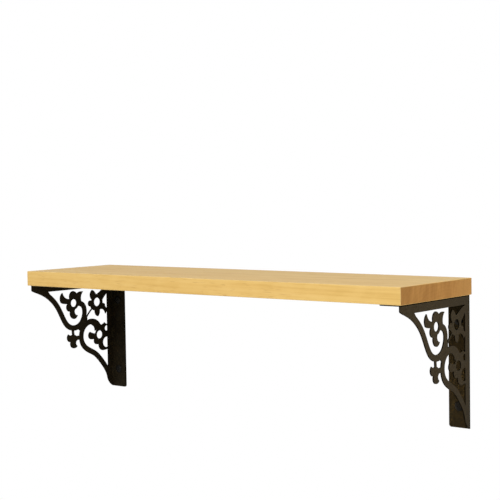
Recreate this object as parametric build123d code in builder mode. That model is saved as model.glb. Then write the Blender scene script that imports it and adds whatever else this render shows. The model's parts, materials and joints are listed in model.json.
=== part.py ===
"""Wall shelf: a wooden board on a mirrored pair of welded scrollwork brackets.

Millimetres. X runs along the board, -Y points from the wall into the room and +Z is up.
The origin lies in the wall plane, at the middle of the four wall screws.
"""
from build123d import *
import os

# Board
board_length = 762.0
board_depth = 203.2
board_thickness = 25.4
board_edge_round = 1.0

# Brackets: two flat legs with a cut plate, the web, along their outer edges
bracket_drop = 203.0
bracket_width = 35.0
end_inset = 4.0
nose_setback = 5.0
leg_thickness = 2.0
leg_corner_round = 4.0
web_thickness = 2.0

# Frame of the web, measured from the board and from the wall
top_bar = 14.0
back_bar = 14.0
nose_depth = 10.2
nose_run = 9.0
nose_round = 3.0
foot_length = 20.0

# Ornament of the web: its strips, its flowers and the grid it is drawn on
strip_width = 9.8
stem_width = 2.0
clover_stem_width = 4.8
clover_arm_width = 7.5
clover_radius = 7.0
crotch_radius = 6.0
petal_radius = 5.6
fork_radius = 6.0
front_flower_ring = 4.8
upper_flower_ring = 6.0
lower_flower_ring = 3.5
front_flower_hole = 7.2
upper_flower_hole = 8.0
lower_flower_hole = 7.6
hook_hole = 9.8
eyelet_hole = 5.0
grid_steps_out = 198.2
grid_steps_down = 203.0

# Weld beads in the inside corners of each bracket
bead_leg = 2.5
bead_bulge = 0.6
bead_length = 20.0
beads_per_leg = 3
bead_end_margin = 18.0
corner_bead_gap = 3.0

# Screws: shank diameter, length under the head, head diameter and height
wall_screw_diameter = 5.0
wall_screw_length = 20.0
wall_screw_head = 14.5
wall_screw_head_height = 3.2
shelf_screw_diameter = 4.5
shelf_screw_length = 20.0
shelf_screw_head = 10.0
shelf_screw_head_height = 2.8
head_rim = 0.7
recess_width = 1.3
recess_depth = 1.6
recess_share = 0.42
neck_extra = 0.6
screw_hole_clearance = 0.4
pilot_clearance = 0.1
pilot_spare_depth = 1.0

# Places of the screws along the legs
upper_wall_screw_drop = 40.0
lower_wall_screw_rise = 33.0
back_shelf_screw_out = 40.0
front_shelf_screw_setback = 33.0

# Sizes that follow
bracket_reach = board_depth - nose_setback
wall_screw_spacing = bracket_drop - upper_wall_screw_drop - lower_wall_screw_rise
underside = upper_wall_screw_drop + wall_screw_spacing / 2
outer_face = board_length / 2 - end_inset
leg_middle = outer_face - bracket_width / 2
web_inner_face = outer_face - web_thickness

os.makedirs("parts", exist_ok=True)


def finish(part, name):
    """Label a finished piece and write it out."""
    part.label = name
    export_step(part, f"parts/{name}.step")


# Web ornament. Places on it are (out, down): from the wall, and from the underside of the board
def spot(place):
    """Stretch a place on the grid to the bracket's own reach and drop."""
    out, down = place
    return (out * bracket_reach / grid_steps_out, down * bracket_drop / grid_steps_down)


def strip(places, width):
    """A strip of even width, bent smoothly through the places."""
    with BuildLine() as middle:
        Spline(*[spot(place) for place in places])
    trace(middle.edges(), line_width=width)


def petal(root, start, *arcs):
    """A petal, hook or leaf on its root: its edge is arcs, each given as (through, end)."""
    with BuildLine() as edge:
        Line(spot(root), spot(start))
        here = start
        for through, end in arcs:
            ThreePointArc(spot(here), spot(through), spot(end))
            here = end
        Line(spot(here), spot(root))
    make_face(edge.edges())


def disc(place, radius, mode=Mode.ADD):
    """A round of the ornament, or a round hole in it."""
    with Locations(spot(place)):
        Circle(radius, mode=mode)


def scrolls():
    """The two long strips, from the nose and from the foot, that end in scrolls."""
    strip([(190, 8.3), (178, 12.9), (167.6, 17.6), (155.6, 25.3), (138, 43.3), (124.8, 66), (113.3, 80),
           (97.5, 84.7), (83, 79.8), (74.4, 68), (72, 55.5), (76, 44.8), (86, 40.5), (95, 41)], strip_width)
    strip([(9.6, 190.4), (14.8, 174.4), (30.6, 152.7), (47.7, 136.8), (67, 126.6), (77.6, 116.5),
           (81.3, 101), (75.3, 85.8), (59.5, 76.9), (46, 78.3), (38.5, 84), (34, 92)], strip_width)
    petal((172, 12), (160.6, 13), ((157.4, 17.2), (153.5, 21.7)))
    petal((40, 83), (63, 80), ((54.5, 83), (48.6, 87)), ((47, 91), (46.5, 95)))
    for place in ((71.7, 70.2), (75, 78.5), (82, 85.5)):
        disc(place, crotch_radius)
    petal((2, 160), (17, 176), ((12.6, 193.5), (2, 203)))


def front_flower():
    """The flower at the end of the upper scroll: leaf, lobe, crescent, lobe and hook."""
    centre = (98.9, 39)
    disc(centre, front_flower_hole + front_flower_ring)
    petal(centre, (93, 24), ((84, 19.3), (75, 19.5)), ((80.3, 27), (79.5, 38)))
    petal(centre, (108.5, 30.6), ((106.2, 19.8), (100, 16.8)), ((95.2, 18.4), (91, 22.2)))
    petal(centre, (109, 30.6), ((120.6, 27), (126, 18.6)), ((131.4, 26), (129.2, 36.8)),
          ((122, 39), (113, 39.4)))
    petal(centre, (113.5, 39.4), ((116.4, 47.4), (111, 53.6)), ((109.2, 54), (107.5, 54.3)))
    petal(centre, (107.5, 53), ((107, 62.5), (98.5, 68.3)), ((93.5, 66.8), (89.5, 61.8)),
          ((96.6, 57.5), (94.5, 49)))
    disc(centre, front_flower_hole, Mode.SUBTRACT)


def upper_flower():
    """The flower in the corner of the frame, with two petals that reach the back bar."""
    centre = (39.9, 41.6)
    disc(centre, upper_flower_hole + upper_flower_ring)
    petal(centre, (52.3, 36.5), ((57.2, 27.8), (51.3, 18.5)), ((46.4, 21.8), (42, 28.5)))
    disc((56.8, 43.2), petal_radius)
    petal(centre, (57, 47.5), ((52, 54.5), (43, 57.5)))
    petal(centre, (45, 55), ((43.6, 65), (38, 68.6)), ((35.3, 65.5), (33.5, 56)))
    petal(centre, (30, 43.4), ((24.4, 44.6), (19.8, 46.8)), ((18.8, 51.5), (13, 54.8)), ((12, 58), (13, 61)),
          ((16.5, 62.3), (18.8, 65.2)), ((23.4, 57.6), (36, 58)))
    petal(centre, (43.5, 28.2), ((35.4, 24.7), (28.3, 20.4)), ((22, 17.2), (13, 15)),
          ((11.5, 20), (13, 25.5)), ((20.3, 31.8), (29.6, 43.2)))
    strip([(50, 51), (58.8, 58), (67.5, 68)], stem_width)
    disc(centre, upper_flower_hole, Mode.SUBTRACT)


def lower_flower():
    """The flower at the end of the lower scroll, joined to the back bar round two holes."""
    centre = (34.9, 103)
    disc(centre, lower_flower_hole + lower_flower_ring)
    disc((38.8, 91), fork_radius)
    petal(centre, (43.5, 100.2), ((51.5, 98.8), (59, 95.8)), ((63.2, 102), (56, 110)),
          ((51.5, 110.2), (46.5, 109.8)))
    petal(centre, (48, 109.5), ((48, 117.5), (43, 120.6)), ((40, 120.8), (36, 120.3)))
    petal(centre, (36.9, 119), ((35.2, 128.7), (27, 133.4)), ((20, 132.9), (11, 131.3)),
          ((10, 118), (11, 106)))
    petal(centre, (32, 84), ((29.5, 85), (26.5, 84)), ((24, 83.4), (22, 81.2)), ((19, 83.6), (11, 84.5)),
          ((10, 96), (11, 107)))
    disc((17, 118.6), hook_hole, Mode.SUBTRACT)
    disc((16.5, 92.6), eyelet_hole, Mode.SUBTRACT)
    disc(centre, lower_flower_hole, Mode.SUBTRACT)


def clover():
    """The small clover that hangs where the two scrolls meet."""
    centre = (100, 104)
    disc(centre, clover_radius)
    strip([(102.2, 85), (101.5, 95), (100.2, 104)], clover_stem_width)
    strip([(100, 103.5), (91, 103.5), (81, 103.3)], clover_arm_width)
    petal(centre, (103.6, 96.5), ((109.4, 97.3), (113.3, 95.1)), ((116.5, 101.3), (110, 109.6)),
          ((108, 109.8), (105.6, 109.8)))
    petal(centre, (107.6, 109), ((106, 119.6), (99.3, 121.7)), ((94.9, 120.8), (91.5, 118)),
          ((95.4, 112.8), (90, 107.2)))


def bars():
    """The straight bars of the web, along the shelf leg, with a slanted nose, and along the wall leg."""
    with BuildLine() as edge:
        Polyline((leg_thickness, leg_thickness), (bracket_reach, leg_thickness), (bracket_reach, nose_depth),
                 (bracket_reach - nose_run, top_bar), (leg_thickness, top_bar), close=True)
    make_face(edge.edges())
    with Locations((leg_thickness, leg_thickness)):
        Rectangle(back_bar - leg_thickness, bracket_drop - leg_thickness - foot_length, align=Align.MIN)


with BuildSketch() as web_outline:
    scrolls()
    front_flower()
    upper_flower()
    lower_flower()
    clover()
    with Locations((leg_thickness, leg_thickness)):
        Rectangle(bracket_reach, bracket_drop, align=Align.MIN, mode=Mode.INTERSECT)
    bars()
    nose_corner = web_outline.vertices().sort_by_distance((bracket_reach, nose_depth))[0]
    fillet(nose_corner, nose_round)


# Seats of the screws: each plane lies on the leg, under the head, and points at the driver
def wall_seats(side):
    heights = (wall_screw_spacing / 2, -wall_screw_spacing / 2)
    return [Plane((side * leg_middle, -leg_thickness, z), (1, 0, 0), (0, -1, 0)) for z in heights]


def shelf_seats(side):
    outs = (back_shelf_screw_out, bracket_reach - front_shelf_screw_setback)
    seat_height = underside - leg_thickness
    return [Plane((side * leg_middle, -out, seat_height), (1, 0, 0), (0, 0, -1)) for out in outs]


def make_board():
    """The board, with pilot holes for the shelf screws."""
    with BuildPart() as board:
        with BuildSketch(Plane.XY.offset(underside)):
            Rectangle(board_length, board_depth, align=(Align.CENTER, Align.MAX))
        extrude(amount=board_thickness)
        fillet(board.edges(), board_edge_round)
        seats = shelf_seats(-1) + shelf_seats(1)
        with Locations(*[seat.offset(-leg_thickness) for seat in seats]):
            Hole(shelf_screw_diameter / 2 + pilot_clearance,
                 shelf_screw_length - leg_thickness + pilot_spare_depth)
    finish(board.part, "board")


def make_web(side, name):
    """The cut plate along the outer edge of the legs."""
    with BuildPart() as web:
        with BuildSketch(Plane((side * outer_face, 0, underside), (0, -1, 0), (1, 0, 0))):
            add(web_outline.sketch)
        extrude(amount=-side * web_thickness)
    finish(web.part, name)


def make_shelf_leg(side, name):
    """The flat bar under the board, butted against the wall leg."""
    with BuildPart() as leg:
        with BuildSketch(Plane.XY.offset(underside)) as plan:
            with Locations((side * leg_middle, -leg_thickness)):
                Rectangle(bracket_width, bracket_reach - leg_thickness, align=(Align.CENTER, Align.MAX))
            front_corners = plan.vertices().group_by(Axis.Y)[0].sort_by(Axis.X)
            fillet(front_corners[-1 if side < 0 else 0], leg_corner_round)
        extrude(amount=-leg_thickness)
        with Locations(*shelf_seats(side)):
            Hole((shelf_screw_diameter + neck_extra + screw_hole_clearance) / 2, leg_thickness)
    finish(leg.part, name)


def make_wall_leg(side, name):
    """The flat bar against the wall."""
    with BuildPart() as leg:
        with BuildSketch(Plane.XZ) as face:
            with Locations((side * leg_middle, underside)):
                Rectangle(bracket_width, bracket_drop, align=(Align.CENTER, Align.MAX))
            foot_corners = face.vertices().group_by(Axis.Y)[0].sort_by(Axis.X)
            fillet(foot_corners[-1 if side < 0 else 0], leg_corner_round)
        extrude(amount=leg_thickness)
        with Locations(*wall_seats(side)):
            Hole((wall_screw_diameter + neck_extra + screw_hole_clearance) / 2, leg_thickness)
    finish(leg.part, name)


def bead(middle, first_side, second_side, length):
    """A weld bead in an inside corner, between two faces that run off along the given sides."""
    run = Vector(first_side).cross(Vector(second_side))
    with BuildSketch(Plane(middle, first_side, run)) as section:
        with BuildLine():
            Line((0, 0), (bead_leg, 0))
            ThreePointArc((bead_leg, 0), (bead_bulge * bead_leg, bead_bulge * bead_leg), (0, bead_leg))
            Line((0, bead_leg), (0, 0))
        make_face()
    extrude(section.sketch, amount=length / 2, both=True)


def make_weld_beads(side, name):
    """Stitch welds from the web to both legs, and one weld across the corner of the legs."""
    inwards = (-side, 0, 0)
    edge = side * web_inner_face
    first = bead_end_margin + bead_length / 2
    corner_length = bracket_width - web_thickness - 2 * bead_leg - 2 * corner_bead_gap
    corner_middle = side * (web_inner_face - bead_leg - corner_bead_gap - corner_length / 2)
    with BuildPart() as beads:
        for count in range(beads_per_leg):
            share = count / max(beads_per_leg - 1, 1)
            out = first + share * (bracket_reach - 2 * first)
            bead((edge, -out, underside - leg_thickness), inwards, (0, 0, -1), bead_length)
            down = first + share * (bracket_drop - 2 * first)
            bead((edge, -leg_thickness, underside - down), inwards, (0, -1, 0), bead_length)
        corner = (corner_middle, -leg_thickness, underside - leg_thickness)
        bead(corner, (0, -1, 0), (0, 0, -1), corner_length)
    finish(beads.part, name)


def make_screws(seats, diameter, length, head, head_height, name):
    """Dome-headed screws with a cross recess and a neck in the leg, one at each seat."""
    neck = (diameter + neck_extra) / 2
    with BuildPart() as screws:
        for seat in seats:
            with BuildSketch(Plane(seat.origin, seat.x_dir, -seat.y_dir)) as half:
                with BuildLine():
                    Line((0, -length), (0, head_height))
                    TangentArc((0, head_height), (head / 2, head_rim), tangent=(1, 0))
                    Polyline((head / 2, head_rim), (head / 2, 0), (neck, 0), (neck, -leg_thickness),
                             (diameter / 2, -leg_thickness), (diameter / 2, diameter - length), (0, -length))
                make_face()
            revolve(half.sketch, Axis(seat.origin, seat.z_dir))
            with BuildSketch(seat.offset(head_height)) as recess:
                Rectangle(recess_share * head, recess_width)
                Rectangle(recess_width, recess_share * head)
            extrude(recess.sketch, amount=-recess_depth, mode=Mode.SUBTRACT)
    finish(screws.part, name)


make_board()
for side, hand in ((-1, "left"), (1, "right")):
    make_web(side, f"{hand}_web")
    make_shelf_leg(side, f"{hand}_shelf_leg")
    make_wall_leg(side, f"{hand}_wall_leg")
    make_weld_beads(side, f"{hand}_weld_beads")
    make_screws(wall_seats(side), wall_screw_diameter, wall_screw_length, wall_screw_head,
                wall_screw_head_height, f"{hand}_wall_screws")
    make_screws(shelf_seats(side), shelf_screw_diameter, shelf_screw_length, shelf_screw_head,
                shelf_screw_head_height, f"{hand}_shelf_screws")
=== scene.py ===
"""Wall shelf with scrollwork brackets: its materials, threaded screws, weld beads, light and camera.

Metres, in the frame of the solids: X runs along the board, +Y points into the wall and +Z is up.
"""
import json
import math
from typing import NamedTuple

import bpy
from mathutils import Matrix, Vector


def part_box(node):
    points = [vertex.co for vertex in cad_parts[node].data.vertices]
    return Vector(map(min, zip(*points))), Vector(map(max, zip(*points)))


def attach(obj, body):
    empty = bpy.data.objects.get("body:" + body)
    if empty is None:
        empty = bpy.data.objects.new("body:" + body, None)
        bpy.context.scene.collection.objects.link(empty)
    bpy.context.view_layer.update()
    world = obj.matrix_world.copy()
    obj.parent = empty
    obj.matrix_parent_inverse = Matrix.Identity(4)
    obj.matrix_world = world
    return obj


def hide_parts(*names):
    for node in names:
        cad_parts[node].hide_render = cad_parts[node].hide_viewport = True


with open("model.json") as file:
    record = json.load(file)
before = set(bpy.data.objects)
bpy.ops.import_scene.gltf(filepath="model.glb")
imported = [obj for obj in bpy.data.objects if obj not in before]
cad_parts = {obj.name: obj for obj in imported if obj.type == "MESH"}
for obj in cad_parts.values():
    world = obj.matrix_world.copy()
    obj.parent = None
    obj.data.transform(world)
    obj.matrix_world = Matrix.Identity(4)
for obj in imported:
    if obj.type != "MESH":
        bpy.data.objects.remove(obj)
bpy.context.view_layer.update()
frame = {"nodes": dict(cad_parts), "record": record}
nodes = frame["nodes"]
mounts = {mount["name"]: mount for mount in frame["record"]["mounts"]}
MM = 0.001

# Places on the right bracket, which the left one mirrors
board_low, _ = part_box("board")
web_low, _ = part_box("right_web")
leg_low, leg_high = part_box("right_wall_leg")
wall_pattern = mounts["wall_screws"]["dims"]
UNDERSIDE = board_low.z
LEG_THICKNESS = leg_high.y - leg_low.y
LEG_INNER_EDGE = leg_low.x
LEG_MIDDLE = mounts["right_wall_face"]["pos_m"][0]
WEB_INNER_FACE = web_low.x
BRACKET_REACH = -web_low.y
BRACKET_DROP = leg_high.z - leg_low.z

# Directions from the wall into the room, and down
OUTWARDS = (0.0, -1.0, 0.0)
DOWNWARDS = (0.0, 0.0, -1.0)

# Screws along the legs, which lie as on the solids
WALL_SCREW_RISE = wall_pattern["spacing_y_mm"] / 2 * MM
BACK_SHELF_SCREW_OUT = 40.0 * MM
FRONT_SHELF_SCREW_SETBACK = 33.0 * MM

# Sockets of the Mix node that carry colours
MIX_FIRST = 6
MIX_SECOND = 7
MIX_RESULT = 2


class Graph:
    """A small builder for shader nodes."""

    def __init__(self, tree):
        self.tree = tree
        tree.nodes.clear()

    def node(self, kind, **settings):
        made = self.tree.nodes.new(kind)
        for name, value in settings.items():
            setattr(made, name, value)
        return made

    def feed(self, socket, value):
        """Links an output to a socket, or sets the socket to a number, a vector or a colour."""
        if isinstance(value, bpy.types.NodeSocket):
            self.tree.links.new(value, socket)
        else:
            socket.default_value = value

    def math(self, operation, first, second=0.0):
        made = self.node("ShaderNodeMath", operation=operation)
        self.feed(made.inputs[0], first)
        self.feed(made.inputs[1], second)
        return made.outputs[0]

    def chain(self, operation, terms):
        """Puts the first two terms through an operation, then the result and the next term."""
        result = terms[0]
        for term in terms[1:]:
            result = self.math(operation, result, term)
        return result

    def sum(self, *terms):
        return self.chain("ADD", terms)

    def largest(self, *terms):
        return self.chain("MAXIMUM", terms)

    def times(self, first, second):
        return self.math("MULTIPLY", first, second)

    def weighted(self, *pairs):
        """The sum of values, each times its weight."""
        return self.sum(*(self.times(value, weight) for value, weight in pairs))

    def split(self, vector):
        made = self.node("ShaderNodeSeparateXYZ")
        self.feed(made.inputs[0], vector)
        return list(made.outputs)

    def noise(self, place, fineness, detail=2.0, roughness=0.5):
        """Noise whose fineness along X, Y and Z is given in waves per metre."""
        scaled = self.node("ShaderNodeVectorMath", operation="MULTIPLY")
        self.feed(scaled.inputs[0], place)
        scaled.inputs[1].default_value = fineness
        made = self.node("ShaderNodeTexNoise")
        self.feed(made.inputs["Vector"], scaled.outputs[0])
        made.inputs["Scale"].default_value = 1.0
        made.inputs["Detail"].default_value = detail
        made.inputs["Roughness"].default_value = roughness
        return made.outputs["Fac"]

    def levels(self, value, limits, ends=(0.0, 1.0)):
        """Goes smoothly from one end to the other as the value goes from its first limit to its second."""
        made = self.node("ShaderNodeMapRange", interpolation_type="SMOOTHSTEP")
        for socket, given in zip(made.inputs, (value, *limits, *ends)):
            self.feed(socket, given)
        return made.outputs[0]

    def ramp(self, value, stops):
        made = self.node("ShaderNodeValToRGB")
        self.feed(made.inputs[0], value)
        points = made.color_ramp.elements
        while len(points) < len(stops):
            points.new(0.5)
        for point, (position, colour) in zip(points, stops):
            point.position = position
            point.color = (*colour, 1.0)
        return made.outputs[0]

    def mix(self, share, first, second):
        made = self.node("ShaderNodeMix", data_type="RGBA")
        self.feed(made.inputs[0], share)
        for socket, value in ((MIX_FIRST, first), (MIX_SECOND, second)):
            fixed = not isinstance(value, bpy.types.NodeSocket)
            self.feed(made.inputs[socket], (*value, 1.0) if fixed else value)
        return made.outputs[MIX_RESULT]

    def cover(self, under, pattern, film, tone=1.0):
        """Lays a film of colour over another colour, where a pattern is strong."""
        share = self.levels(pattern, film.limits, (0.0, film.share))
        return self.mix(share, under, toned(film.colour, tone))

    def bump(self, height, distance, strength):
        made = self.node("ShaderNodeBump")
        made.inputs["Strength"].default_value = strength
        made.inputs["Distance"].default_value = distance
        self.feed(made.inputs["Height"], height)
        return made.outputs[0]

    def surface(self, **inputs):
        """Ends in a shader; the names of its inputs have _ for each space."""
        shader = self.node("ShaderNodeBsdfPrincipled")
        for name, value in inputs.items():
            self.feed(shader.inputs[name.replace("_", " ")], value)
        self.end(shader)

    def end(self, shader, output="ShaderNodeOutputMaterial"):
        self.feed(self.node(output).inputs[0], shader.outputs[0])


class Film(NamedTuple):
    """A colour that shows by up to a share, as a pattern goes from its first limit to its second."""
    limits: tuple
    share: float
    colour: tuple


def triple(value):
    """A grey, or a fineness that is the same along X, Y and Z."""
    return (value,) * 3


def toned(colour, tone):
    return tuple(tone * channel for channel in colour)


def new_material(name):
    material = bpy.data.materials.new(name)
    material.use_nodes = True
    return material, Graph(material.node_tree)


# Growth rings of the wood: their middle lies below the board, and each goes from pale to dark and back
PITH_Y = -0.088
PITH_Z = -0.030
RINGS_PER_METRE = 185.0
RING_LEAN = 0.018
RING_SWAY = 22.0 * MM
RING_WOBBLE = 0.45
RING_PROFILE = ((0.0, triple(0.10)), (0.45, triple(0.22)), (0.86, triple(1.0)), (1.0, triple(0.10)))
SWAY_FINENESS = (1.4, 11.0, 11.0)
WOBBLE_FINENESS = (9.0, 160.0, 160.0)

# Wood along the grain: fineness, limits and weights of its patterns, and colours from pale to dark
FIBRE_FINENESS = (11.0, 620.0, 620.0)
STREAK_FINENESS = (3.4, 80.0, 80.0)
MOTTLE_FINENESS = (34.0, 60.0, 75.0)
BLOTCH_FINENESS = (3.0, 9.0, 14.0)
FLECK_FINENESS = (52.0, 720.0, 720.0)
FIBRE_LIMITS = (0.30, 0.70)
STREAK_LIMITS = (0.35, 0.65)
MOTTLE_LIMITS = (0.32, 0.68)
FLECK_LIMITS = (0.63, 0.76)
FLECKED_BLOTCH_LIMITS = (0.40, 0.62)
GRAIN_WEIGHTS = {"ring": 0.26, "fibre": 0.23, "streak": 0.30, "mottle": 0.21}
GRAIN_STOPS = ((0.05, (0.83, 0.565, 0.195)), (0.5, (0.775, 0.505, 0.158)), (0.95, (0.655, 0.400, 0.105)))
FLECK_SHARE = 0.55
FLECK_COLOUR = (0.42, 0.215, 0.060)
BLOTCH = Film((0.30, 0.75), 0.22, (0.70, 0.415, 0.120))

# Sawn ends of the board: darker end grain whose colours are partly painted shade, and painted light that
# makes the ends paler at the back
RAY_FINENESS = (40.0, 420.0, 60.0)
CLOUD_FINENESS = (20.0, 62.0, 16.0)
CLOUD_SLANT = 0.22
END_LIMITS = (0.30, 0.70)
END_WEIGHTS = {"ring": 0.16, "ray": 0.24, "cloud": 0.60}
# end grain is darker than the faces, and these colours are darker still as painted shade for the weaker
# light on the ends
END_STOPS = ((0.10, (0.460, 0.250, 0.076)), (0.90, (0.335, 0.166, 0.045)))
PAINTED_BACK_LIGHT = Film((-0.080, -0.005), 0.6, (0.505, 0.290, 0.098))

# Varnish: how far a face looks along X at the ends, and along any axis at the eased edges, which get a
# painted highlight of paler colour
END_FACING = (0.55, 0.85)
EDGE_HIGHLIGHT_FACING = (0.995, 0.90)
EDGE_HIGHLIGHT_SHARE = 0.45
EDGE_HIGHLIGHT_COLOUR = (0.90, 0.66, 0.28)
WOOD_ROUGHNESS = 0.45
FIBRE_ROUGHNESS = 0.10
END_ROUGHNESS = 0.30
WOOD_SPECULAR = 0.20
WOOD_RELIEF = {"ring": 0.35, "fibre": 0.5, "fleck": -0.8, "ray": 0.8}
WOOD_BUMP = 0.09 * MM
WOOD_BUMP_STRENGTH = 0.5


def wood_rings(graph, place):
    """Growth rings along the board: low in the pale wood, high in the dark."""
    x, y, z = graph.split(place)
    across = graph.math("SUBTRACT", y, PITH_Y)
    above = graph.math("SUBTRACT", z, PITH_Z)
    radius = graph.math("SQRT", graph.sum(graph.times(across, across), graph.times(above, above)))
    sway = graph.noise(place, SWAY_FINENESS, detail=3.0)
    radius = graph.sum(radius, graph.times(x, RING_LEAN), graph.times(sway, RING_SWAY))
    wobble = graph.noise(place, WOBBLE_FINENESS)
    turns = graph.weighted((radius, RINGS_PER_METRE), (wobble, RING_WOBBLE))
    return graph.ramp(graph.math("FRACT", turns), RING_PROFILE)


def grain_colour(graph, place, ring, fibre, fleck, blotch):
    """Colour of the faces along the grain."""
    streak = graph.noise(place, STREAK_FINENESS)
    mottle = graph.noise(place, MOTTLE_FINENESS)
    tone = graph.weighted(
        (ring, GRAIN_WEIGHTS["ring"]),
        (graph.levels(fibre, FIBRE_LIMITS), GRAIN_WEIGHTS["fibre"]),
        (graph.levels(streak, STREAK_LIMITS), GRAIN_WEIGHTS["streak"]),
        (graph.levels(mottle, MOTTLE_LIMITS), GRAIN_WEIGHTS["mottle"]),
    )
    colour = graph.ramp(tone, GRAIN_STOPS)
    colour = graph.mix(graph.times(fleck, FLECK_SHARE), colour, FLECK_COLOUR)
    return graph.cover(colour, blotch, BLOTCH)


def end_colour(graph, place, ring, ray):
    """Colour of the sawn ends, with clouds that lean across the rings."""
    slant = graph.node("ShaderNodeVectorRotate", rotation_type="X_AXIS")
    graph.feed(slant.inputs["Vector"], place)
    slant.inputs["Angle"].default_value = CLOUD_SLANT
    cloud = graph.noise(slant.outputs[0], CLOUD_FINENESS)
    tone = graph.weighted(
        (ring, END_WEIGHTS["ring"]),
        (graph.levels(ray, END_LIMITS), END_WEIGHTS["ray"]),
        (graph.levels(cloud, END_LIMITS), END_WEIGHTS["cloud"]),
    )
    colour = graph.ramp(tone, END_STOPS)
    # painted light: the end is painted lighter towards the back, where the light falls stronger
    _, y, _ = graph.split(place)
    return graph.cover(colour, y, PAINTED_BACK_LIGHT)


def make_wood():
    """Pale varnished board with growth rings, fibres and flecks, darker ends that are partly painted shade
    and paler at the back as painted light, and a painted highlight on the eased edges.
    """
    material, graph = new_material("wood")
    coords = graph.node("ShaderNodeTexCoord")
    place = coords.outputs["Object"]
    ring = wood_rings(graph, place)
    fibre = graph.noise(place, FIBRE_FINENESS, detail=3.0, roughness=0.6)
    blotch = graph.noise(place, BLOTCH_FINENESS)
    fleck = graph.levels(graph.noise(place, FLECK_FINENESS, detail=1.0), FLECK_LIMITS)
    fleck = graph.times(fleck, graph.levels(blotch, FLECKED_BLOTCH_LIMITS))
    ray = graph.noise(place, RAY_FINENESS)

    facing = [graph.math("ABSOLUTE", part) for part in graph.split(coords.outputs["Normal"])]
    at_end = graph.levels(facing[0], END_FACING)
    edge_highlight = graph.levels(graph.largest(*facing), EDGE_HIGHLIGHT_FACING)
    along = grain_colour(graph, place, ring, fibre, fleck, blotch)
    colour = graph.mix(at_end, along, end_colour(graph, place, ring, ray))
    # painted highlight: paler colour on the eased edges stands in for light caught by their rounding
    colour = graph.mix(graph.times(edge_highlight, EDGE_HIGHLIGHT_SHARE), colour, EDGE_HIGHLIGHT_COLOUR)

    rough = graph.weighted((fibre, FIBRE_ROUGHNESS), (at_end, END_ROUGHNESS))
    height = graph.weighted(
        (ring, WOOD_RELIEF["ring"]),
        (fibre, WOOD_RELIEF["fibre"]),
        (fleck, WOOD_RELIEF["fleck"]),
        (graph.times(ray, at_end), WOOD_RELIEF["ray"]),
    )
    graph.surface(
        Base_Color=colour,
        Roughness=graph.sum(WOOD_ROUGHNESS, rough),
        Specular_IOR_Level=WOOD_SPECULAR,
        Normal=graph.bump(height, WOOD_BUMP, WOOD_BUMP_STRENGTH),
    )
    return material


# Powder coat: fineness of its patterns, its grain from dark to pale, and the films over it
GRAIN_FINENESS = 1150.0
PEEL_FINENESS = 420.0
PATCH_FINENESS = 42.0
RUB_FINENESS = 240.0
SPECK_FINENESS = 300.0
PAINT_STOPS = (
    (0.30, (0.0055, 0.0044, 0.0026)),
    (0.55, (0.0105, 0.0086, 0.0052)),
    (0.75, (0.0230, 0.0175, 0.0110)),
)
PATCH = Film((0.40, 0.70), 0.6, (0.0165, 0.0112, 0.0060))
RUB = Film((0.62, 0.74), 0.5, (0.0300, 0.0225, 0.0140))
SPECK = Film((0.50, 0.72), 0.6, (0.0330, 0.0250, 0.0110))
PATCH_GLOSS_LIMITS = (0.30, 0.70)
SPECK_GLOSS_LIMITS = (0.34, 0.66)
PATCH_ROUGHNESS = 0.08
SPECK_ROUGHNESS = 0.22
PAINT_SPECULAR_TINT = (1.0, 0.79, 0.34, 1.0)
PAINT_RELIEF = {"grain": 0.5, "peel": 0.9, "speck": 0.4}
PAINT_BUMP = 0.18 * MM
PAINT_BUMP_STRENGTH = 0.6


def make_paint(name, tone, roughness, specular):
    """Near-black brown powder coat with a fine grain; tone scales its colours, and below 1 it gives a
    darker copy that is painted shade.
    """
    material, graph = new_material(name)
    place = graph.node("ShaderNodeTexCoord").outputs["Object"]
    grain = graph.noise(place, triple(GRAIN_FINENESS), roughness=0.6)
    peel = graph.noise(place, triple(PEEL_FINENESS), detail=1.0)
    patch = graph.noise(place, triple(PATCH_FINENESS), detail=3.0)
    rub = graph.noise(place, triple(RUB_FINENESS), detail=3.0, roughness=0.65)
    speck = graph.noise(place, triple(SPECK_FINENESS), roughness=0.6)

    colour = graph.ramp(grain, [(position, toned(shade, tone)) for position, shade in PAINT_STOPS])
    colour = graph.cover(colour, patch, PATCH, tone)
    colour = graph.cover(colour, rub, RUB, tone)
    colour = graph.cover(colour, speck, SPECK, tone)

    patch_gloss = graph.levels(patch, PATCH_GLOSS_LIMITS)
    speck_gloss = graph.levels(speck, SPECK_GLOSS_LIMITS)
    rough = graph.weighted((patch_gloss, PATCH_ROUGHNESS), (speck_gloss, SPECK_ROUGHNESS))
    height = graph.weighted(
        (grain, PAINT_RELIEF["grain"]),
        (peel, PAINT_RELIEF["peel"]),
        (speck, PAINT_RELIEF["speck"]),
    )
    graph.surface(
        Base_Color=colour,
        Roughness=graph.sum(roughness, rough),
        Specular_IOR_Level=specular,
        Specular_Tint=PAINT_SPECULAR_TINT,
        Normal=graph.bump(height, PAINT_BUMP, PAINT_BUMP_STRENGTH),
    )
    return material


# Screw steel: a black coat, a little rubbed
COAT_FINENESS = 900.0
RUBBED_FINENESS = 260.0
COAT_STOPS = ((0.25, (0.0042, 0.0040, 0.0036)), (0.75, (0.0092, 0.0088, 0.0080)))
RUBBED = Film((0.60, 0.72), 0.5, (0.026, 0.025, 0.024))
COAT_LIMITS = (0.30, 0.70)
STEEL_ROUGHNESS = (0.30, 0.44)
STEEL_SPECULAR = 0.07
STEEL_SPECULAR_TINT = (1.0, 0.93, 0.80, 1.0)
STEEL_BUMP = 0.03 * MM
STEEL_BUMP_STRENGTH = 0.5


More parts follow.
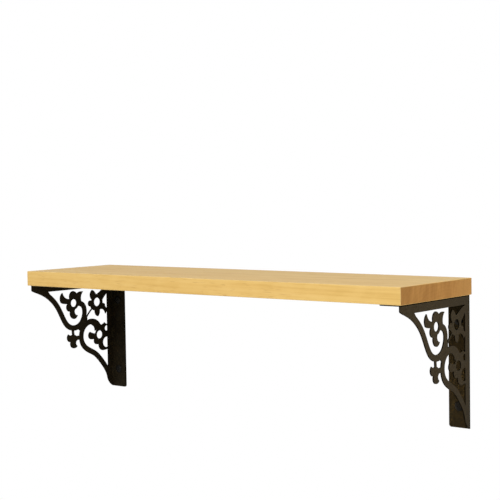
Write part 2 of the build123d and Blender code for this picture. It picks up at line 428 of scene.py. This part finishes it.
def make_screw_steel():
    """Black phosphate coat over steel, a little rubbed."""
    material, graph = new_material("screw_steel")
    place = graph.node("ShaderNodeTexCoord").outputs["Object"]
    coat = graph.noise(place, triple(COAT_FINENESS), detail=3.0, roughness=0.6)
    rubbed = graph.noise(place, triple(RUBBED_FINENESS))
    colour = graph.ramp(coat, COAT_STOPS)
    graph.surface(
        Base_Color=graph.cover(colour, rubbed, RUBBED),
        Roughness=graph.levels(coat, COAT_LIMITS, STEEL_ROUGHNESS),
        Specular_IOR_Level=STEEL_SPECULAR,
        Specular_Tint=STEEL_SPECULAR_TINT,
        Normal=graph.bump(coat, STEEL_BUMP, STEEL_BUMP_STRENGTH),
    )
    return material


wood = make_wood()
paint = make_paint("bracket_paint", tone=1.0, roughness=0.22, specular=0.026)
# a darker copy of the coat for the cut edges: its darkness is painted shade, its roughness a matte finish
shaded_cut_paint = make_paint("shaded_cut_edge_paint", tone=0.4, roughness=0.62, specular=0.003)
steel = make_screw_steel()


# Solids that stay: the axis through each plate's thickness, what is a cut edge and what is one point
PLATE_AXES = {"web": 0, "wall_leg": 1, "shelf_leg": 2}
CUT_EDGE_FACING = 0.5
WELD_DISTANCE = 0.001 * MM


def paint_node(name, material):
    node = nodes[name]
    node.data.materials.clear()
    node.data.materials.append(material)


def paint_plate(name, across):
    """Paints a plate, with a duller finish on its cut edges whose darker colour is painted shade; across is
    the axis through its thickness.
    """
    paint_node(name, paint)
    mesh = nodes[name].data
    mesh.materials.append(shaded_cut_paint)
    for face in mesh.polygons:
        face.material_index = int(abs(face.normal[across]) < CUT_EDGE_FACING)


def close_corners(name):
    """Joins the points that lie on each other, which takes out the empty faces at rounded corners."""
    weld = nodes[name].modifiers.new("closed_corners", "WELD")
    weld.merge_threshold = WELD_DISTANCE


def add_piece(name, points, faces, material, replaced):
    """A new mesh piece that stands for a CAD node."""
    mesh = bpy.data.meshes.new(name)
    mesh.from_pydata(points, [], faces)
    mesh.validate()
    mesh.polygons.foreach_set("use_smooth", [True] * len(mesh.polygons))
    mesh.materials.append(material)
    piece = bpy.data.objects.new(name, mesh)
    bpy.context.scene.collection.objects.link(piece)
    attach(piece, "root")
    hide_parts(replaced)


def ring_faces(first, rings, sides):
    """Quads between closed rings of points, each ring with as many points as sides."""
    faces = []
    for ring in range(rings - 1):
        for side in range(sides):
            here = first + ring * sides + side
            beside = first + ring * sides + (side + 1) % sides
            faces.append((here, beside, beside + sides, here + sides))
    return faces


def ease(value):
    """Smooth step from 0 to 1."""
    value = min(max(value, 0.0), 1.0)
    return value * value * (3.0 - 2.0 * value)


class ScrewSize(NamedTuple):
    """Shank diameter, length under the head, head diameter and height, and pitch of the thread."""
    shank: float
    length: float
    head: float
    height: float
    pitch: float


WALL_SHANK = 2.0 * wall_pattern["stud_r_mm"] * MM
WALL_SCREW = ScrewSize(shank=WALL_SHANK, length=20.0 * MM, head=14.5 * MM, height=3.15 * MM, pitch=2.4 * MM)
SHELF_SCREW = ScrewSize(shank=4.5 * MM, length=20.0 * MM, head=10.0 * MM, height=2.74 * MM, pitch=2.0 * MM)

# Head of a screw: a dome on a straight rim, with a cross recess whose arms get shallower outwards
SCREW_SIDES = 40
DOME_RINGS = 22
HEAD_RIM = 0.7 * MM
RIM_ROUND = 0.25 * MM
RIM_DROP = 0.1 * MM
RECESS_DEPTH = 1.7 * MM
RECESS_REACH_SHARE = 0.21
RECESS_HALF_WIDTH = 0.68 * MM
RECESS_BLEND = 0.22 * MM
RECESS_TAPER = 0.35
CONE_RADIUS = 1.9 * MM
CONE_BLEND = 0.8 * MM
CONE_DEPTH_SHARE = 0.95

# Shank of a screw: a plain neck in the leg, then a thread on a core, down to a tip
NECK_EXTRA = 0.3 * MM
NECK_STEP = 0.25 * MM
NECK_SLOPE = 0.2 * MM
CORE_SHARE = 0.68
TIP_LENGTH_SHARE = 1.1
TIP_BLUNT = 0.15 * MM
THREAD_GAP = 0.5 * MM
THREAD_RUN_IN_PITCHES = 1.5
RINGS_PER_PITCH = 10
CREST_HALF_WIDTH_PITCHES = 0.24
CREST_ROUNDING = 0.85
PLAIN_DEPTH_SHARE = 0.7

# Turn of the first screw's recess, and from each screw to the next, in degrees
FIRST_SPIN = 23.0
SPIN_STEP = 61.0

screw_angles = [2.0 * math.pi * step / SCREW_SIDES for step in range(SCREW_SIDES)]


def recess(across, along, reach):
    """How far a cross recess goes down at a point of the head, as a share of its depth."""
    share = CONE_DEPTH_SHARE * ease((CONE_RADIUS - math.hypot(across, along)) / CONE_BLEND)
    for out, aside in ((abs(across), abs(along)), (abs(along), abs(across))):
        side = ease((RECESS_HALF_WIDTH - aside) / RECESS_BLEND + 0.5)
        end = ease((reach - out) / (2.0 * RECESS_BLEND) + 0.5)
        share = max(share, side * end * (1.0 - RECESS_TAPER * out / reach))
    return share


def circle(radius, level):
    return [(radius * math.cos(angle), radius * math.sin(angle), level) for angle in screw_angles]


def head_rings(size):
    """Rings of the dome with its recess, from the middle outwards; z = 0 is under the head."""
    rise = size.height - HEAD_RIM
    dome_radius = ((size.head / 2) ** 2 + rise ** 2) / (2.0 * rise)
    edge = size.head / 2 - RIM_ROUND
    rings = []
    for step in range(1, DOME_RINGS + 1):
        radius = edge * step / DOME_RINGS
        level = size.height - dome_radius + math.sqrt(dome_radius ** 2 - radius ** 2)
        ring = []
        for x, y, z in circle(radius, level):
            ring.append((x, y, z - RECESS_DEPTH * recess(x, y, RECESS_REACH_SHARE * size.head)))
        rings.append(ring)
    return rings


def neck_rings(size):
    """Rings down the rim, under the head and along the neck in the leg."""
    rim = size.head / 2
    neck = size.shank / 2 + NECK_EXTRA
    outline = (
        (rim, HEAD_RIM - RIM_DROP),
        (rim, RIM_ROUND),
        (rim - RIM_ROUND, 0.0),
        (neck, 0.0),
        (neck, -LEG_THICKNESS),
        (size.shank / 2 - NECK_STEP, -LEG_THICKNESS - NECK_SLOPE),
    )
    return [circle(radius, level) for radius, level in outline]


def thread_rings(size):
    """Rings along the thread, whose crest goes round once in each pitch."""
    core = CORE_SHARE * size.shank / 2
    depth = size.shank / 2 - core
    tip = TIP_LENGTH_SHARE * size.shank
    level = -LEG_THICKNESS - THREAD_GAP
    rings = []
    while level > -size.length + TIP_BLUNT:
        run_in = ease((-LEG_THICKNESS - level) / (THREAD_RUN_IN_PITCHES * size.pitch))
        point = min(1.0, (size.length + level) / tip)
        ring = []
        for angle in screw_angles:
            phase = (level / size.pitch + angle / (2.0 * math.pi)) % 1.0
            flank = max(0.0, 1.0 - abs(phase - 0.5) / CREST_HALF_WIDTH_PITCHES)
            crest = flank ** CREST_ROUNDING
            rise = run_in * crest + (1.0 - run_in) * PLAIN_DEPTH_SHARE
            radius = point * (core + depth * rise)
            ring.append((radius * math.cos(angle), radius * math.sin(angle), level))
        rings.append(ring)
        level -= size.pitch / RINGS_PER_PITCH
    return rings


def add_screws(name, seats, toward, size):
    """Dome-headed screws with a cross recess and a cut thread, in place of a CAD node's plain ones."""
    rings = head_rings(size) + neck_rings(size) + thread_rings(size)
    turn = Vector((0.0, 0.0, 1.0)).rotation_difference(Vector(toward)).to_matrix()
    points, faces = [], []
    for count, seat in enumerate(seats):
        spin = Matrix.Rotation(math.radians(FIRST_SPIN + SPIN_STEP * count), 3, "Z")
        first = len(points)
        for ring in rings:
            points += [turn @ spin @ Vector(point) + Vector(seat) for point in ring]
        faces += [tuple(reversed(face)) for face in ring_faces(first, len(rings), SCREW_SIDES)]
        middle = len(points)
        points.append(turn @ Vector((0.0, 0.0, size.height - RECESS_DEPTH)) + Vector(seat))
        points.append(turn @ Vector((0.0, 0.0, -size.length)) + Vector(seat))
        last = first + (len(rings) - 1) * SCREW_SIDES
        for side in range(SCREW_SIDES):
            after = (side + 1) % SCREW_SIDES
            faces.append((middle, first + side, first + after))
            faces.append((middle + 1, last + after, last + side))
    add_piece(name + "_threaded", points, faces, steel, name)


# Weld beads: stitches along each leg, and one bead across the corner of the legs
BEAD_LEG = 2.5 * MM
BEAD_LENGTH = 20.0 * MM
BEADS_PER_LEG = 3
BEAD_END_MARGIN = 18.0 * MM
CORNER_BEAD_GAP = 3.0 * MM
BEAD_SINK = 0.06 * MM
BEAD_END_ROUND = 2.2 * MM
BEAD_HOLLOW = 0.20
RIPPLE_PITCH = 1.5 * MM
RIPPLE_RISE = 0.17 * MM
RIPPLE_LAG = 0.55 * MM
BEAD_ROW = 0.25 * MM
BEAD_COLUMNS = 12


def add_bead(points, faces, middle, first_side, second_side, length):
    """One rippled weld bead in the corner between two faces."""
    first_side, second_side = Vector(first_side), Vector(second_side)
    run = first_side.cross(second_side)
    rows = round(length / BEAD_ROW) + 1
    first = len(points)
    for row in range(rows):
        along = -length / 2 + length * row / (rows - 1)
        root = Vector(middle) + run * along - (first_side + second_side) * BEAD_SINK
        left = min(1.0, (length / 2 - abs(along)) / BEAD_END_ROUND)
        size = math.sqrt(max(0.0, 1.0 - (1.0 - left) ** 2))
        for column in range(BEAD_COLUMNS):
            swing = column / (BEAD_COLUMNS - 1) * math.pi / 2
            inside = math.sin(2.0 * swing)
            wave = 0.5 + 0.5 * math.cos(2.0 * math.pi * (along + RIPPLE_LAG * inside) / RIPPLE_PITCH)
            bare = BEAD_LEG * (1.0 - BEAD_HOLLOW * inside)
            radius = size * (bare - RIPPLE_RISE * (1.0 - wave) * inside) + BEAD_SINK
            off_first = first_side * (radius * math.cos(swing))
            off_second = second_side * (radius * math.sin(swing))
            points.append(root + off_first + off_second)
        points.append(root)
    sides = BEAD_COLUMNS + 1
    faces += ring_faces(first, rows, sides)
    last = first + (rows - 1) * sides
    faces.append(tuple(first + side for side in reversed(range(sides))))
    faces.append(tuple(last + side for side in range(sides)))


def stitch_middles(leg_length):
    """Places of the stitches along a leg, evenly between its margins."""
    first = BEAD_END_MARGIN + BEAD_LENGTH / 2
    step = (leg_length - 2.0 * first) / (BEADS_PER_LEG - 1)
    return [first + step * count for count in range(BEADS_PER_LEG)]


def add_beads(name, side):
    """Weld beads in the inside corners of one bracket."""
    points, faces = [], []
    inwards = (-side, 0.0, 0.0)
    edge = side * WEB_INNER_FACE
    under_leg = UNDERSIDE - LEG_THICKNESS
    for out in stitch_middles(BRACKET_REACH):
        add_bead(points, faces, (edge, -out, under_leg), inwards, DOWNWARDS, BEAD_LENGTH)
    for down in stitch_middles(BRACKET_DROP):
        add_bead(points, faces, (edge, -LEG_THICKNESS, UNDERSIDE - down), inwards, OUTWARDS, BEAD_LENGTH)
    corner_middle = side * (WEB_INNER_FACE + LEG_INNER_EDGE) / 2
    corner_length = WEB_INNER_FACE - LEG_INNER_EDGE - 2.0 * (BEAD_LEG + CORNER_BEAD_GAP)
    add_bead(points, faces, (corner_middle, -LEG_THICKNESS, under_leg), OUTWARDS, DOWNWARDS, corner_length)
    add_piece(name + "_rippled", points, faces, paint, name)


def dress_bracket(hand, side):
    """Paints one bracket's plates and adds its beads and screws; side is -1 on the left, 1 on the right."""
    for plate, across in PLATE_AXES.items():
        paint_plate(f"{hand}_{plate}", across)
    add_beads(f"{hand}_weld_beads", side)
    middle = side * LEG_MIDDLE
    wall_seats = [(middle, -LEG_THICKNESS, height) for height in (WALL_SCREW_RISE, -WALL_SCREW_RISE)]
    add_screws(f"{hand}_wall_screws", wall_seats, OUTWARDS, WALL_SCREW)
    shelf_outs = (BACK_SHELF_SCREW_OUT, BRACKET_REACH - FRONT_SHELF_SCREW_SETBACK)
    shelf_seats = [(middle, -out, UNDERSIDE - LEG_THICKNESS) for out in shelf_outs]
    add_screws(f"{hand}_shelf_screws", shelf_seats, DOWNWARDS, SHELF_SCREW)


paint_node("board", wood)
close_corners("board")
dress_bracket("left", -1.0)
dress_bracket("right", 1.0)


# Stage: a pale floor, far below as under a shelf on a wall, that fades into the white background
FLOOR_HEIGHT = -1.15
FLOOR_RADIUS = 2.4
FLOOR_SIDES = 96
FLOOR_COLOUR = (0.90, 0.90, 0.90, 1.0)
FLOOR_PALENESS = 0.6
FLOOR_FADE = (1.0, 2.25)
AMBIENT = 0.38


def seen_directly(graph):
    """1 for rays from the camera, a mirror or glass, and 0 for rays that only bring light."""
    rays = graph.node("ShaderNodeLightPath").outputs
    return graph.largest(rays["Is Camera Ray"], rays["Is Glossy Ray"], rays["Is Transmission Ray"])


def make_floor_material():
    """Pale grey that turns into plain white towards the edge of the floor."""
    material, graph = new_material("floor")
    x, y, _ = graph.split(graph.node("ShaderNodeTexCoord").outputs["Object"])
    out = graph.math("SQRT", graph.sum(graph.times(x, x), graph.times(y, y)))
    paleness = graph.times(seen_directly(graph), FLOOR_PALENESS)
    ground = graph.node("ShaderNodeBsdfDiffuse")
    ground.inputs["Color"].default_value = FLOOR_COLOUR
    white = graph.node("ShaderNodeEmission")
    blend = graph.node("ShaderNodeMixShader")
    graph.feed(blend.inputs[0], graph.largest(graph.levels(out, FLOOR_FADE), paleness))
    graph.feed(blend.inputs[1], ground.outputs[0])
    graph.feed(blend.inputs[2], white.outputs[0])
    graph.end(blend)
    return material


def make_floor():
    """A round floor, which isn't part of the object."""
    points = [(0.0, 0.0, FLOOR_HEIGHT)]
    for step in range(FLOOR_SIDES):
        angle = 2.0 * math.pi * step / FLOOR_SIDES
        points.append((FLOOR_RADIUS * math.cos(angle), FLOOR_RADIUS * math.sin(angle), FLOOR_HEIGHT))
    faces = [(0, 1 + step, 1 + (step + 1) % FLOOR_SIDES) for step in range(FLOOR_SIDES)]
    mesh = bpy.data.meshes.new("floor")
    mesh.from_pydata(points, [], faces)
    mesh.materials.append(make_floor_material())
    floor = bpy.data.objects.new("floor", mesh)
    bpy.context.scene.collection.objects.link(floor)


def make_world():
    """White where it is seen directly, mirrored or through glass; an even ambient light elsewhere."""
    world = bpy.data.worlds.new("studio")
    world.use_nodes = True
    bpy.context.scene.world = world
    graph = Graph(world.node_tree)
    background = graph.node("ShaderNodeBackground")
    sky = graph.mix(seen_directly(graph), triple(AMBIENT), triple(1.0))
    graph.feed(background.inputs["Color"], sky)
    graph.end(background, "ShaderNodeOutputWorld")


def add_light(name, place, target, size, power, colour=(1.0, 1.0, 1.0), spread=180.0):
    """A rectangular lamp that looks at a target; its power is in watts and its spread in degrees."""
    light = bpy.data.lights.new(name, "AREA")
    light.shape = "RECTANGLE"
    light.size, light.size_y = size
    light.energy = power
    light.color = colour
    light.spread = math.radians(spread)
    lamp = bpy.data.objects.new(name, light)
    lamp.location = place
    lamp.rotation_euler = (Vector(target) - Vector(place)).to_track_quat("-Z", "Y").to_euler()
    lamp.visible_camera = False
    bpy.context.scene.collection.objects.link(lamp)


make_floor()
make_world()
add_light("key", place=(0.55, -2.30, 1.55), target=(0.05, -0.12, 0.06), size=(1.3, 1.0), power=50.0)
add_light("side", place=(0.95, 0.47, 0.00), target=(0.377, -0.10, 0.03), size=(0.46, 0.50), power=0.48,
          colour=(1.0, 0.75, 0.38), spread=40.0)
add_light("low", place=(-0.21, -1.04, -0.26), target=(0.36, 0.0, -0.01), size=(0.25, 0.12), power=0.060,
          colour=(1.0, 0.76, 0.46), spread=13.0)


# Camera at the photograph's viewing angle: its place, its turns in radians and its focal length
CAMERA_PLACE = Vector((1.24655, -1.62121, 0.26388))
YAW = 0.67150
PITCH = 0.04812
ROLL = -0.01527
FOCAL_PIXELS = 1211.39
IMAGE_PIXELS = 500.0
SENSOR_WIDTH = 36.0


def add_camera():
    """A camera that looks along +Y, turned left by the yaw, down by the pitch and over by the roll."""
    level = math.cos(PITCH)
    ahead = Vector((-math.sin(YAW) * level, math.cos(YAW) * level, -math.sin(PITCH)))
    right = ahead.cross(Vector((0.0, 0.0, 1.0))).normalized()
    up = right.cross(ahead)
    rolled_right = math.cos(ROLL) * right + math.sin(ROLL) * up
    rolled_up = math.cos(ROLL) * up - math.sin(ROLL) * right
    turn = Matrix((rolled_right, rolled_up, -ahead)).transposed().to_4x4()
    lens = bpy.data.cameras.new("camera")
    lens.sensor_fit = "HORIZONTAL"
    lens.sensor_width = SENSOR_WIDTH
    lens.lens = SENSOR_WIDTH * FOCAL_PIXELS / IMAGE_PIXELS
    camera = bpy.data.objects.new("camera", lens)
    camera.matrix_world = Matrix.Translation(CAMERA_PLACE) @ turn
    bpy.context.scene.collection.objects.link(camera)
    bpy.context.scene.camera = camera


add_camera()
bpy.context.scene.view_settings.view_transform = "Standard"
